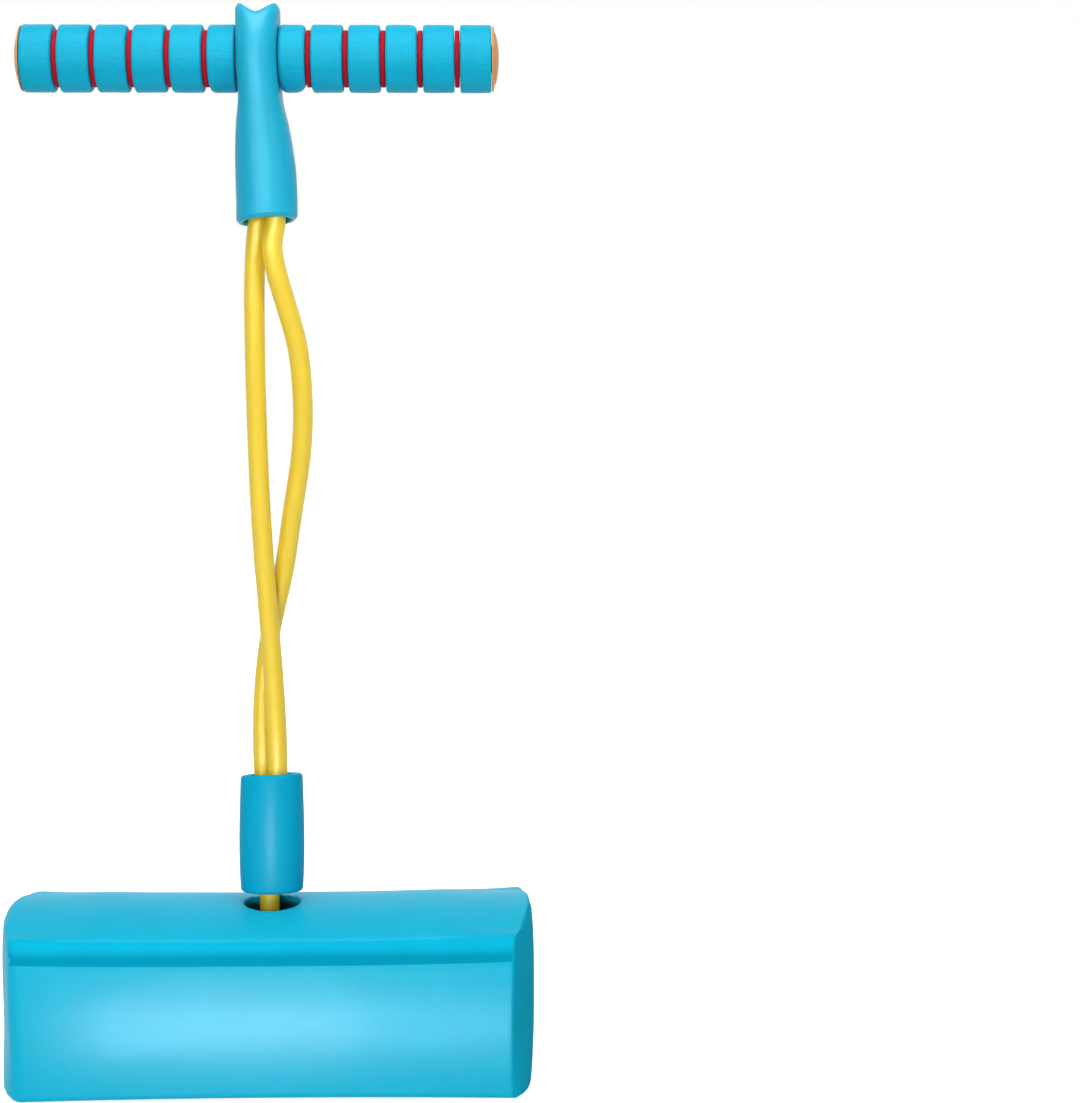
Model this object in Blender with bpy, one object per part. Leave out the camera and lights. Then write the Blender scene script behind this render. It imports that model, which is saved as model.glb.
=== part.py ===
"""Foam pogo jumper: a foam base, a looped elastic cord in two foam sleeves, and a ringed handle.

Metres, +Z up. The origin is on the floor, in the middle of the base. +X is along the handle and
the base, and -Y is the front. The cord is one loop: it starts under the base, goes up through the
lower sleeve, over the handle's core inside the upper sleeve, and comes down again.
"""

import math

import bmesh
import bpy
from mathutils import Vector

MM = 0.001
GAP = 0.3 * MM  # between pieces that touch

# Base block
BASE_LENGTH = 254 * MM
BASE_DEPTH = 93 * MM
BASE_HEIGHT = 84.5 * MM
TOP_ARCH = 7.5 * MM  # the top's middle above its edges
SHOULDER_DROP = 8.5 * MM  # from the top's edge down to the front face
SHOULDER_INSET = 5 * MM
FACE_BULGE = 1.6 * MM  # the front face's middle before its edges
FOOT_ROUND = 3.5 * MM
END_RADIUS = 86 * MM  # the rounding of the ends, seen from above
END_FOOT_DRAW_IN = 1.2 * MM
END_TOP_DRAW_IN = 5 * MM

# Cord
CORD_DIAMETER = 9.5 * MM
PIVOT_DEPTH = 5 * MM  # the cord's bending point below the base's top
MOUTH_STUB = 14 * MM  # the short stretch that bends there
CORD_SPLIT = 0.6 * MM  # between the stretches of the cord

# Cord bore through the base, and the anchor under it
BORE_ROOM = 7 * MM  # beside the two strands
BORE_LIP = 5 * MM  # the dished rim round the mouth
RECESS_DIAMETER = 44 * MM
RECESS_DEPTH = 17 * MM
PLATE_THICKNESS = 4 * MM
CRIMP_HEIGHT = 8 * MM
CRIMP_WALL = 1.7 * MM
ANCHOR_ROOM = 5.5 * MM  # between the two cord ends

# Squeaker in a pocket under one foot
SQUEAKER_FROM_END = 55 * MM
POCKET_DIAMETER = 44 * MM
POCKET_DEPTH = 34 * MM
FOOT_THICKNESS = 4 * MM
FOOT_RECESS = 0.6 * MM
BELLOWS_WALL = 1.4 * MM
BELLOWS_FOLD = 3.5 * MM
BELLOWS_FOLDS = 3
REED_DIAMETER = 10 * MM
REED_LENGTH = 9 * MM

# Lower sleeve
LOWER_WALL = 4.6 * MM
LOWER_ROOM = 1.8 * MM  # beside the two strands
LOWER_LENGTH = 55.5 * MM
LOWER_ABOVE_BASE = 5.4 * MM
LOWER_LEAN = math.radians(8.3)  # its top leans back
LOWER_SET_BACK = 0.4 * MM  # its bottom behind the base's middle
LOWER_BARREL = 0.5 * MM
SLEEVE_EDGE = 1.6 * MM

# Upper sleeve
BAR_HEIGHT = 406 * MM  # the handle's axis above the bending point
UPPER_WALL = 3.7 * MM
UPPER_ROOM = 1.2 * MM  # beside the two strands in its open end
UPPER_DROP = 73 * MM  # the handle's axis down to the sleeve's open end
UPPER_MOUTH_X = 3.8 * MM
UPPER_MOUTH_Y = -14 * MM
UPPER_LEAN = math.radians(11)
WAIST_ROOM = 1.4 * MM  # beside the cord where the handle squeezes it
EYE_DROP = 36.5 * MM  # the handle's axis down to the ends of the cord's eye
TIP_RISE = 24 * MM  # the top corners above the handle's axis
TIP_DIP = 4.2 * MM  # the front and back of the top edge below those corners

# Handle
CORE_DIAMETER = 16 * MM
CORE_WALL = 1.5 * MM
RING_WALL = 7.4 * MM
RING_WIDTH = 14.3 * MM
RING_EDGE = 2 * MM
INNER_RING_WIDTH = 12 * MM
SPACER_INSET = 2.4 * MM
SPACER_WIDTH = 2.15 * MM
RINGS_PER_SIDE = 6
RING_CLEARANCE = 1 * MM  # from the upper sleeve to the first rings
CAP_INSET = 0.5 * MM
CAP_RIM = 0.6 * MM
CAP_DOME = 2.6 * MM
PLUG_LENGTH = 14 * MM

RING_SIDES = 20
SLEEVE_SIDES = 28
SMALL_SIDES = 16
EDGE_SHARE = 0.3  # how far inside its corner the middle of a rounded edge lies
CORD_STEP = 1.3 * CORD_DIAMETER  # between the points of the cord's tubes
EYE_STEP = 0.35 * CORD_DIAMETER  # closer where it bends round the handle's core

# Places worked out from the sizes
PIVOT_Z = BASE_HEIGHT - PIVOT_DEPTH
BAR_Z = PIVOT_Z + BAR_HEIGHT
CORD_RADIUS = CORD_DIAMETER / 2
EYE_RADIUS = CORE_DIAMETER / 2 + GAP + CORD_RADIUS
PLATE_TOP = RECESS_DEPTH - GAP
PLATE_BOTTOM = PLATE_TOP - PLATE_THICKNESS
CRIMP_TOP = PLATE_BOTTOM - GAP
CRIMP_BOTTOM = CRIMP_TOP - CRIMP_HEIGHT
CORD_HOLE = CORD_DIAMETER + 2 * GAP
BORE_DIAMETER = 2 * CORD_DIAMETER + BORE_ROOM
ANCHOR_SPREAD = CORD_DIAMETER + ANCHOR_ROOM
LOWER_BORE = 2 * CORD_DIAMETER + LOWER_ROOM
UPPER_BORE = 2 * CORD_DIAMETER + UPPER_ROOM
SQUEAKER_X = BASE_LENGTH / 2 - SQUEAKER_FROM_END
CORE_BORE = CORE_DIAMETER - 2 * CORE_WALL
RING_DIAMETER = CORE_DIAMETER + 2 * RING_WALL
SPACER_DIAMETER = RING_DIAMETER - 2 * SPACER_INSET
CAP_DIAMETER = RING_DIAMETER - 2 * CAP_INSET
WAIST_SIDE = CORD_RADIUS + UPPER_WALL + WAIST_ROOM / 2
RING_START = WAIST_SIDE + RING_CLEARANCE

# The cord's route above the base, as drawn for the first cord and bar height, in millimetres:
# across, depth, height above the bending point. The straight strand hangs from the back of the
# handle, and the slack one from its front.
ROUTE_CORD = 9.5
ROUTE_HEIGHT = 406
STRAIGHT_ROUTE = [
    (-0.6, -5.0, -6),
    (-0.7, -4.7, 8),
    (0.6, -3.0, 22),
    (2.3, 0.2, 39),
    (3.2, 4.6, 64),
    (3.1, 6.8, 80),
    (1.8, 8.5, 112),
    (0.4, 8.3, 135),
    (-2.1, 5.6, 178),
    (-3.3, -2.5, 244),
    (-3.0, -8.0, 276),
    (-2.2, -11.4, 308),
    (-1.4, -12.2, 320),
    (0.0, -11.3, 333),
    (1.2, -4.6, 354),
    (1.0, 2.0, 374),
    (0.4, 8.8, 389),
]
SLACK_ROUTE = [
    (-1.2, 5.0, -6),
    (-1.6, 5.2, 8),
    (-1.9, 6.8, 22),
    (-2.8, 8.9, 39),
    (-4.0, 11.4, 64),
    (-4.6, 13.6, 80),
    (-3.4, 17.2, 112),
    (-0.2, 18.6, 135),
    (6.2, 16.6, 162),
    (11.6, 11.5, 193),
    (17.2, 4.2, 227),
    (18.3, -2.0, 250),
    (16.4, -8.5, 276),
    (12.4, -13.5, 293),
    (8.6, -17.4, 308),
    (6.6, -18.6, 320),
    (8.2, -17.0, 333),
    (5.0, -14.5, 354),
    (2.9, -13.7, 374),
    (1.0, -13.7, 389),
]


def clear_scene():
    for found in list(bpy.data.objects):
        bpy.data.objects.remove(found, do_unlink=True)


def material(name, colour, roughness):
    made = bpy.data.materials.new(name)
    made.use_nodes = True
    shader = made.node_tree.nodes["Principled BSDF"]
    shader.inputs["Base Color"].default_value = (*colour, 1)
    shader.inputs["Roughness"].default_value = roughness
    shader.inputs["Metallic"].default_value = 0
    return made


def empty(name, place):
    made = bpy.data.objects.new(name, None)
    made.location = place
    bpy.context.collection.objects.link(made)
    return made


def mesh_object(name, points, faces, look, parent=None, place=(0, 0, 0)):
    mesh = bpy.data.meshes.new(name)
    mesh.from_pydata(points, [], faces)
    shape = bmesh.new()
    shape.from_mesh(mesh)
    bmesh.ops.recalc_face_normals(shape, faces=shape.faces)
    shape.to_mesh(mesh)
    shape.free()
    mesh.shade_smooth()
    mesh.set_sharp_from_angle(angle=math.radians(35))
    made = bpy.data.objects.new(name, mesh)
    made.location = place
    made.parent = parent
    if look:
        mesh.materials.append(look)
    bpy.context.collection.objects.link(made)
    return made


def bridge(loops, ring):
    """Points and faces through loops of equal length: a ring of loops, or a row with filled ends."""
    count = len(loops[0])
    points = [p for loop in loops for p in loop]
    faces = []
    pairs = len(loops) if ring else len(loops) - 1
    for i in range(pairs):
        a = i * count
        b = (i + 1) % len(loops) * count
        for k in range(count):
            n = (k + 1) % count
            faces.append((a + k, a + n, b + n, b + k))
    if not ring:
        faces.append(tuple(range(count)))
        faces.append(tuple(range(len(points) - count, len(points))))
    return points, faces


def turned(profile, axis, hollow, sides=RING_SIDES):
    """Points and faces of a profile of (radius, height) turned round Z or X."""
    loops = []
    for radius, height in profile:
        loop = []
        for k in range(sides):
            turn = 2 * math.pi * k / sides
            a = radius * math.cos(turn)
            b = radius * math.sin(turn)
            loop.append((a, b, height) if axis == "Z" else (height, a, b))
        loops.append(loop)
    return bridge(loops, hollow)


def cutter(name, points, faces, place=(0, 0, 0)):
    made = mesh_object(name, points, faces, None, place=place)
    made.hide_render = True
    made.display_type = "WIRE"
    return made


def boolean(target, tool, operation):
    change = target.modifiers.new(tool.name, "BOOLEAN")
    change.operation = operation
    change.solver = "EXACT"
    change.object = tool


def arc(centre, radius, start, end, steps):
    found = []
    for i in range(steps + 1):
        turn = start + (end - start) * i / steps
        found.append((centre[0] + radius * math.cos(turn), centre[1] + radius * math.sin(turn)))
    return found


def base_half_section():
    """The back half of the base's section, as (depth, height) from the floor's middle to the top's."""
    half = BASE_DEPTH / 2
    edge_z = BASE_HEIGHT - TOP_ARCH
    face_top = edge_z - SHOULDER_DROP
    face_low = FOOT_ROUND
    middle = (face_top + face_low) / 2
    reach = (face_top - face_low) / 2
    foot = half - FACE_BULGE
    points = arc((foot - FOOT_ROUND, FOOT_ROUND), FOOT_ROUND, -math.pi / 2, 0, 4)
    for step in (-0.5, 0, 0.5, 1):
        points.append((half - FACE_BULGE * step * step, middle + reach * step))
    top_edge = foot - SHOULDER_INSET
    points.append((foot - SHOULDER_INSET * 0.12, face_top + SHOULDER_DROP * 0.45))
    points.append((foot - SHOULDER_INSET * 0.48, face_top + SHOULDER_DROP * 0.82))
    for share in (1, 0.82, 0.62, 0.4, 0.2):
        points.append((top_edge * share, BASE_HEIGHT - TOP_ARCH * share * share))
    points.append((0, BASE_HEIGHT))
    return points


def end_draw_in(height):
    """How far the ends are drawn in at a height: a little to the floor, and rounded to the top."""
    middle = BASE_HEIGHT * 0.45
    if height < middle:
        share = (middle - height) / middle
        return END_FOOT_DRAW_IN * share**2.6
    share = (height - middle) / (BASE_HEIGHT - middle)
    return END_TOP_DRAW_IN * share**4


def end_shaper():
    """A block with the base's rounded ends, larger than the base in depth and height."""
    reach = BASE_DEPTH * 0.62
    steps = 8
    loops = []
    for share in (-0.05, 0, 0.06, 0.13, 0.22, 0.32, 0.45, 0.62, 0.78, 0.9, 1, 1.1):
        height = BASE_HEIGHT * share
        tip = BASE_LENGTH / 2 - end_draw_in(min(max(height, 0), BASE_HEIGHT))
        side = []
        for i in range(-steps, steps + 1):
            y = reach * i / steps
            drop = END_RADIUS - math.sqrt(END_RADIUS**2 - y * y)
            side.append((tip - drop, y))
        loop = [(x, y, height) for x, y in side]
        loop += [(-x, y, height) for x, y in reversed(side)]
        loops.append(loop)
    return cutter("end_shaper", *bridge(loops, False))


def make_base(look):
    half = base_half_section()
    outline = half + [(-y, z) for y, z in reversed(half[:-1])]
    reach = BASE_LENGTH * 0.56
    loops = [[(x, y, z) for y, z in outline] for x in (-reach, reach)]
    base = mesh_object("foam_base", *bridge(loops, False), look)
    boolean(base, end_shaper(), "INTERSECT")
    bore = BORE_DIAMETER / 2
    above = BASE_HEIGHT + BORE_LIP
    lip = arc((bore + BORE_LIP, BASE_HEIGHT - BORE_LIP), BORE_LIP, math.pi, math.pi / 2, 4)
    profile = [(bore, RECESS_DEPTH - MM)] + lip + [(bore + BORE_LIP, above)]
    boolean(base, cutter("bore_cutter", *turned(profile, "Z", False)), "DIFFERENCE")
    for name, x, width, depth in (
        ("recess_cutter", 0, RECESS_DIAMETER, RECESS_DEPTH),
        ("pocket_cutter", SQUEAKER_X, POCKET_DIAMETER, POCKET_DEPTH),
    ):
        profile = [(width / 2, -MM), (width / 2, depth)]
        boolean(base, cutter(name, *turned(profile, "Z", False), place=(x, 0, 0)), "DIFFERENCE")


def make_anchor(plastic, crimp_look):
    rim = RECESS_DIAMETER / 2 - GAP
    profile = [(rim, PLATE_BOTTOM), (rim, PLATE_TOP)]
    plate = mesh_object("anchor_plate", *turned(profile, "Z", False), plastic)
    hole = CORD_HOLE / 2
    for name, side in (("front", -1), ("back", 1)):
        place = (0, side * ANCHOR_SPREAD / 2, 0)
        profile = [(hole, PLATE_BOTTOM - MM), (hole, PLATE_TOP + MM)]
        drill = cutter("plate_hole_" + name, *turned(profile, "Z", False, SMALL_SIDES), place=place)
        boolean(plate, drill, "DIFFERENCE")
        outer = hole + CRIMP_WALL
        profile = [(hole, CRIMP_BOTTOM), (outer, CRIMP_BOTTOM), (outer, CRIMP_TOP), (hole, CRIMP_TOP)]
        shape = turned(profile, "Z", True, SMALL_SIDES)
        mesh_object("cord_crimp_" + name, *shape, crimp_look, place=place)


def make_squeaker(plastic, foot_look, reed_look):
    place = (SQUEAKER_X, 0, 0)
    wide = POCKET_DIAMETER / 2 - 2 * GAP
    foot_top = FOOT_RECESS + FOOT_THICKNESS
    profile = [(wide - MM, FOOT_RECESS), (wide, FOOT_RECESS + MM), (wide, foot_top)]
    axis = empty("squeaker_axis", place)
    mesh_object("squeaker_foot", *turned(profile, "Z", False), foot_look, parent=axis)
    low = foot_top + GAP
    high = POCKET_DEPTH - GAP
    fold = (high - low) / BELLOWS_FOLDS
    outer = [(wide - BELLOWS_FOLD, low)]
    for i in range(BELLOWS_FOLDS):
        outer.append((wide, low + fold * (i + 0.5)))
        outer.append((wide - BELLOWS_FOLD, low + fold * (i + 1)))
    hole = REED_DIAMETER / 2 + GAP
    inner = [(radius - BELLOWS_WALL, height) for radius, height in outer[1:-1]]
    top_inner = (wide - BELLOWS_FOLD - BELLOWS_WALL, high - BELLOWS_WALL)
    floor_inner = (wide - BELLOWS_FOLD - BELLOWS_WALL, low + BELLOWS_WALL)
    middle = (REED_DIAMETER / 4, low)
    profile = [middle] + outer + [(hole, high), (hole, high - BELLOWS_WALL), top_inner]
    profile += list(reversed(inner)) + [floor_inner, (REED_DIAMETER / 4, low + BELLOWS_WALL)]
    mesh_object("squeaker_bellows", *turned(profile, "Z", False), plastic, place=place)
    stem = REED_DIAMETER / 2
    head_top = high - BELLOWS_WALL - GAP
    profile = [
        (stem * 0.7, high - REED_LENGTH),
        (stem * 1.35, high - REED_LENGTH + 2 * MM),
        (stem * 1.35, head_top),
        (stem, head_top),
        (stem, high),
    ]
    mesh_object("squeaker_reed", *turned(profile, "Z", False, SMALL_SIDES), reed_look, place=place)


def smooth_line(points, step):
    """Points about a step apart on a smooth curve through a route's own points."""
    route = [Vector(p) for p in points]
    spans = [(b - a).length for a, b in zip(route, route[1:])]
    slopes = [(b - a) / span for a, b, span in zip(route, route[1:], spans)]
    ends = [slopes[0]]
    for before, after, short, long in zip(slopes, slopes[1:], spans, spans[1:]):
        ends.append((before * long + after * short) / (short + long))
    ends.append(slopes[-1])
    found = []
    for i, span in enumerate(spans):
        pieces = max(2, round(span / step))
        for k in range(pieces):
            t = k / pieces
            rise = t * t * (3 - 2 * t)
            leave = ends[i] * span * t * (1 - t) ** 2
            arrive = ends[i + 1] * span * t * t * (t - 1)
            found.append(route[i].lerp(route[i + 1], rise) + leave + arrive)
    found.append(route[-1])
    return found


def strand_line(route, end_side, bar_side):
    """A strand's centre line, from its end under the base to the level of the handle's axis.

    The sides are -1 at the front and 1 at the back.
    """
    spread = end_side * ANCHOR_SPREAD / 2
    levels = (CRIMP_BOTTOM, PLATE_BOTTOM, PLATE_TOP, PLATE_TOP + PLATE_THICKNESS)
    points = [(0, spread, level) for level in levels]
    wide = CORD_DIAMETER / ROUTE_CORD
    tall = BAR_HEIGHT / ROUTE_HEIGHT
    points += [(x * wide, y * wide, PIVOT_Z + z * tall) for x, y, z in route]
    points.append((0, bar_side * EYE_RADIUS, BAR_Z))
    return smooth_line(points, MM)


def cut_line(line, low, high):
    """The stretch of a rising line between two heights, with its ends exactly there."""
    found = []
    for a, b in zip(line, line[1:]):
        for level in (low, high):
            if a.z < level <= b.z:
                found.append(a.lerp(b, (level - a.z) / (b.z - a.z)))
        if low < b.z < high:
            found.append(b)
    return found


def spaced(line, step):
    """The same line with its points a step apart."""
    whole = sum((b - a).length for a, b in zip(line, line[1:]))
    count = max(2, math.ceil(whole / step))
    gap = whole / count
    found = [line[0]]
    gone = 0.0
    for a, b in zip(line, line[1:]):
        piece = (b - a).length
        while len(found) < count and gone + piece >= gap * len(found):
            found.append(a.lerp(b, (gap * len(found) - gone) / piece))
        gone += piece
    found.append(line[-1])
    return found


def cord_tube(name, line, look, parent=None, step=CORD_STEP):
    points = spaced(line, step)
    curve = bpy.data.curves.new(name, "CURVE")
    curve.dimensions = "3D"
    curve.bevel_depth = CORD_RADIUS
    curve.bevel_resolution = 3
    curve.use_fill_caps = True
    spline = curve.splines.new("POLY")
    spline.points.add(len(points) - 1)
    origin = parent.location if parent else Vector()
    for point, place in zip(spline.points, points):
        point.co = (*(place - origin), 1)
    spline.use_smooth = True
    curve.materials.append(look)
    made = bpy.data.objects.new(name, curve)
    made.parent = parent
    bpy.context.collection.objects.link(made)


def make_cord(look, mouth, stem, hanger):
    straight = strand_line(STRAIGHT_ROUTE, -1, 1)
    slack = strand_line(SLACK_ROUTE, 1, -1)
    root_top = PIVOT_Z - PIVOT_DEPTH
    stub_top = root_top + MOUTH_STUB
    eye_low = BAR_Z - EYE_DROP
    lowest = CRIMP_BOTTOM + GAP
    for end, name, line in (("front", "left", straight), ("back", "right", slack)):
        cord_tube("cord_root_" + end, cut_line(line, lowest, root_top), look)
        cord_tube("cord_mouth_" + end, cut_line(line, root_top + CORD_SPLIT, stub_top), look, mouth)
        strand = cut_line(line, stub_top + CORD_SPLIT, eye_low - CORD_SPLIT)
        cord_tube("cord_strand_" + name, strand, look, stem)
    over = arc((0, BAR_Z), EYE_RADIUS, 0, math.pi, 16)
    eye = cut_line(straight, eye_low, BAR_Z - GAP)
    eye += [Vector((0, y, z)) for y, z in over]
    eye += list(reversed(cut_line(slack, eye_low, BAR_Z - GAP)))
    cord_tube("cord_eye", eye, look, hanger, EYE_STEP)


def sleeve_loop(centre, across, deep, lean, rise=0):
    """One section of a sleeve: a round end at its front and back, with straight sides between.

    It leans back by an angle, and rise lifts it at its two sides.
    """
    loop = []
    for k in range(SLEEVE_SIDES):
        turn = 2 * math.pi * k / SLEEVE_SIDES
        side = 0 if k % (SLEEVE_SIDES // 2) == 0 else math.copysign(1, math.sin(turn))
        y = across * math.sin(turn) + side * (deep - across)
        loop.append(
            (
                centre[0] + across * math.cos(turn),
                centre[1] + y * math.cos(lean),
                centre[2] - y * math.sin(lean) + rise * math.cos(turn) ** 2,
            )
        )
    return loop


def make_lower_sleeve(look, stem):
    bottom = BASE_HEIGHT + LOWER_ABOVE_BASE
    axis = Vector((0, math.sin(LOWER_LEAN), math.cos(LOWER_LEAN)))
    start = Vector((0, LOWER_SET_BACK, bottom)) - stem.location
    bore = LOWER_BORE / 2
    wide = bore + LOWER_WALL
    length = LOWER_LENGTH
    edge = SLEEVE_EDGE
    profile = [
        (bore, 0),
        (wide - edge, 0),
        (wide - EDGE_SHARE * edge, EDGE_SHARE * edge),
        (wide, edge),
        (wide + LOWER_BARREL, length * 0.35),
        (wide, length * 0.7),
        (wide - 0.5 * LOWER_BARREL, length - edge),
        (wide - EDGE_SHARE * edge, length - EDGE_SHARE * edge),
        (wide - edge, length),
        (bore, length),
    ]
    loops = []
    for radius, along in profile:
        loops.append(sleeve_loop(start + axis * along, radius, radius, LOWER_LEAN))
    mesh_object("lower_sleeve", *bridge(loops, True), look, parent=stem)


def upper_sections():
    """Sections of the upper sleeve's outer face, from its open end up to its top edge.

    Each is (share of the way up to the handle's axis, half width, half depth), then the top ones.
    """
    mouth = UPPER_BORE / 2 + UPPER_WALL
    deepest = EYE_RADIUS + CORD_RADIUS + GAP + UPPER_WALL
    waist = WAIST_SIDE
    rows = [
        (0, mouth, mouth),
        (0.12, mouth, mouth * 1.01),
        (0.3, mouth * 0.99, mouth * 1.09),
        (0.46, mouth * 0.93, mouth * 1.2),
        (0.6, mouth * 0.83, mouth * 1.34),
        (0.76, waist * 1.02, deepest * 0.95),
        (1, waist, deepest),
    ]
    sections = []
    for share, across, deep in rows:
        left = 1 - share
        bend = left * (0.35 + 0.65 * left)
        centre = (UPPER_MOUTH_X * min(1, left * 1.25), UPPER_MOUTH_Y * left**1.25, -UPPER_DROP * left)
        sections.append((centre, across, deep, UPPER_LEAN * min(1, 2 * bend), 0))
    shoulder = CORE_DIAMETER / 2 + CORD_RADIUS
    tip = TIP_RISE - TIP_DIP
    sections.append(((0, 0, shoulder / 2), waist, deepest * 0.97, 0, 0))
    sections.append(((0, 0, shoulder), waist * 1.02, deepest * 0.86, 0, 0))
    sections.append(((0, 0, tip), waist * 1.05, deepest * 0.66, 0, TIP_DIP))
    return sections


def make_upper_sleeve(look, hanger):
    sections = upper_sections()
    outer = [sleeve_loop(*section) for section in sections]
    inner = []
    for centre, across, deep, lean, rise in reversed(sections):
        inner.append(sleeve_loop(centre, across - UPPER_WALL, deep - UPPER_WALL, lean, rise))
    sleeve = mesh_object("upper_sleeve", *bridge(outer + inner, True), look, parent=hanger)
    hole = CORE_DIAMETER / 2 + GAP
    profile = [(hole, -2 * WAIST_SIDE), (hole, 2 * WAIST_SIDE)]
    place = (0, 0, BAR_Z)
    boolean(sleeve, cutter("bar_hole", *turned(profile, "X", False), place=place), "DIFFERENCE")


def ring_profile(width, outer, edge):
    """A foam ring's section as (radius, place along the handle), from its inner end outwards."""
    bore = CORE_DIAMETER / 2 + GAP
    return [
        (bore, 0),
        (outer - edge, 0),
        (outer - EDGE_SHARE * edge, EDGE_SHARE * edge),
        (outer, edge),
        (outer, width - edge),
        (outer - EDGE_SHARE * edge, width - EDGE_SHARE * edge),
        (outer - edge, width),
        (bore, width),
    ]


def mirrored(profile, sign):
    return [(radius, sign * along) for radius, along in profile]


def make_handle(looks, bar):
    ring_look, spacer_look, cap_look, core_look = looks
    spacer_bore = CORE_DIAMETER / 2 + GAP
    for side, sign in (("left", -1), ("right", 1)):
        along = RING_START
        for number in range(1, RINGS_PER_SIDE + 1):
            width = INNER_RING_WIDTH if number == 1 else RING_WIDTH
            profile = mirrored(ring_profile(width, RING_DIAMETER / 2, RING_EDGE), sign)
            name = f"grip_ring_{side}_{number}"
            place = (sign * along, 0, 0)
            mesh_object(name, *turned(profile, "X", True), ring_look, bar, place)
            along += width + GAP
            if number < RINGS_PER_SIDE:
                wide = SPACER_DIAMETER / 2
                long = SPACER_WIDTH
                profile = [(spacer_bore, 0), (wide, 0), (wide, long), (spacer_bore, long)]
                name = f"grip_spacer_{side}_{number}"
                place = (sign * along, 0, 0)
                shape = turned(mirrored(profile, sign), "X", True)
                mesh_object(name, *shape, spacer_look, bar, place)
                along += SPACER_WIDTH + GAP
        make_end_cap(side, sign, along, cap_look, bar)
    core_end = along - GAP
    bore = CORE_BORE / 2
    outer = CORE_DIAMETER / 2
    profile = [(bore, -core_end), (outer, -core_end), (outer, core_end), (bore, core_end)]
    mesh_object("handle_core", *turned(profile, "X", True), core_look, bar)


def make_end_cap(side, sign, along, look, bar):
    """A domed plug: its stem sits in the core tube and its flange covers the outer ring's face."""
    stem = CORE_BORE / 2 - GAP
    wide = CAP_DIAMETER / 2
    profile = [(stem - MM, -PLUG_LENGTH), (stem, MM - PLUG_LENGTH), (stem, 0), (wide, 0)]
    for share in (1, 0.85, 0.62, 0.36, 0.12):
        profile.append((wide * share, CAP_RIM + CAP_DOME * (1 - share * share)))
    shape = turned(mirrored(profile, sign), "X", False)
    mesh_object("end_cap_" + side, *shape, look, bar, (sign * along, 0, 0))


def main():
    clear_scene()
    blue = material("blue_foam", (0.05, 0.45, 0.72), 0.55)
    grip_blue = material("blue_grip_foam", (0.03, 0.42, 0.66), 0.8)
    yellow = material("yellow_cord", (0.82, 0.62, 0.05), 0.4)
    red = material("red_foam", (0.55, 0.02, 0.05), 0.8)
    orange = material("orange_plastic", (0.7, 0.3, 0.12), 0.45)
    white = material("white_plastic", (0.8, 0.8, 0.78), 0.5)
    grey = material("grey_plastic", (0.3, 0.3, 0.32), 0.5)
    dark = material("dark_plastic", (0.1, 0.1, 0.11), 0.5)
    pivot = (0, 0, PIVOT_Z)
    mouth = empty("mouth_axis", pivot)
    stem = empty("stem_axis", pivot)
    hanger = empty("hanger_axis", (0, 0, BAR_Z))
    bar = empty("bar_axis", (0, 0, BAR_Z))
    make_base(blue)
    make_anchor(grey, dark)
    make_squeaker(white, grey, dark)
    make_cord(yellow, mouth, stem, hanger)
    make_lower_sleeve(blue, stem)
    make_upper_sleeve(blue, hanger)
    make_handle((grip_blue, red, orange, white), bar)


main()
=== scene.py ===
"""Looks of the foam pogo jumper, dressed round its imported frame.

Metres, in the frame's own axes: +Z up, +X along the handle and the base, -Y the front.
"""

import math

import bmesh
import bpy
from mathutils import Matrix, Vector, noise


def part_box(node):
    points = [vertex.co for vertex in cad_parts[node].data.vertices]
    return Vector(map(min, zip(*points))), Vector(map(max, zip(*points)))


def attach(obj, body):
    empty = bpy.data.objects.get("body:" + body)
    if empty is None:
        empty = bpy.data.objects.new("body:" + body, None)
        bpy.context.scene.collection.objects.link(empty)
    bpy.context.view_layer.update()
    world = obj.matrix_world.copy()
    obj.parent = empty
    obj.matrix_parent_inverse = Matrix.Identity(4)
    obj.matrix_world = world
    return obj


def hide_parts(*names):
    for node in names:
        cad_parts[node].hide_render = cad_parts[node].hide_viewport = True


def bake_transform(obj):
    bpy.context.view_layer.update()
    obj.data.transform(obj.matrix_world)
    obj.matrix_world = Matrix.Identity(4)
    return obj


MM = 0.001
GAP = 0.3 * MM

# Base block: the part's own sizes, with its shoulders, ends and rims shaped more closely
BASE_LENGTH = 254 * MM
BASE_DEPTH = 93 * MM
BASE_HEIGHT = 84.5 * MM
TOP_ARCH = 7.5 * MM
SHOULDER_DROP = 10.3 * MM
SHOULDER_INSET = 3.6 * MM
SHOULDER_ROUND = 5 * MM  # along the section, at the shoulder's soft upper edge
FACE_TOP = BASE_HEIGHT - TOP_ARCH - SHOULDER_DROP
FACE_BULGE = 1.6 * MM
FOOT_ROUND = 3.5 * MM
END_BOW = 8.9 * MM  # how far the ends fall back at the faces, seen from above
END_SKEW = 1.4 * MM
END_SQUARE = 34 * MM  # below this height the ends' plan grows squarer
END_REACH = (129.6 * MM, 127 * MM)  # of the left and the right end, from the middle
END_FULLEST = 0.45 * BASE_HEIGHT  # below and above this height the ends draw in
END_FOOT_DRAW_IN = 1.2 * MM
END_TOP_DRAW_IN = 2.6 * MM
END_CENTRE = 0.48 * BASE_HEIGHT  # where the rings of an end's face close
END_RINGS = (0.93, 0.84, 0.74, 0.63, 0.51, 0.39, 0.27, 0.16, 0.07)  # shares of its outline
LEFT_EDGE = 4.2 * MM  # the rounding between the faces and the left end
RIGHT_EDGE = 1.1 * MM
EDGE_STEPS = 6
END_LIFT = (3.4 * MM, 4.6 * MM)  # how far the top rises towards the left and the right end
LIFT_FLAT_FROM = 0.6  # the share of the half length past which the top's crown rises less
UNDER_ARCH = 1.4 * MM  # how far the underside's middle clears the floor
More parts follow.
